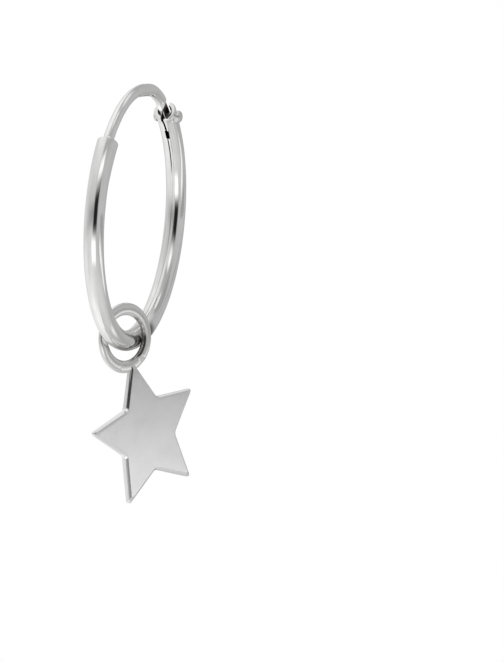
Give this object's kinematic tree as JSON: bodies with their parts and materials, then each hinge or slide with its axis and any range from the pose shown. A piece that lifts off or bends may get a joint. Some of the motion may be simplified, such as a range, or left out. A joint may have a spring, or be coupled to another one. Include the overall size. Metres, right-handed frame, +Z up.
{
  "type": "hoop charm earring",
  "caption": "Hinged silver hoop earring: a hollow rolled tube closed by a thin hinged ear wire, with a flat star charm hanging by its ring from the bottom.",
  "frame": {"origin": "middle of the ear wire at the top of the hoop, where it sits in the ear lobe", "axes": "the hoop stands in the XZ plane with +Z up and its hinge towards +X; -Y is its front, which the star's face is turned to"},
  "size_m": [0.016, 0.0043, 0.0246],
  "materials": {
    "hoop_silver": "polished silver",
    "wire_silver": "polished silver wire",
    "charm_silver": "satin polished silver"
  },
  "bodies": {
    "hoop": {"hoop_tube": "hoop_silver", "hinge_pin": "hoop_silver"},
    "wire": {"ear_wire": "wire_silver"},
    "charm": {"star_charm": "charm_silver"}
  },
  "joints": [
    {"name": "wire_hinge", "type": "hinge", "parent": "hoop", "child": "wire", "pos_m": [0.00424, 0, -0.00134], "axis": [0, 1, 0], "range_deg": [0, 80]},
    {"name": "charm_swing", "type": "hinge", "parent": "hoop", "child": "charm", "pos_m": [0, 0, -0.01466], "axis": [-0.5225, -0.8526, 0], "range_deg": [-81, 37]}
  ]
}
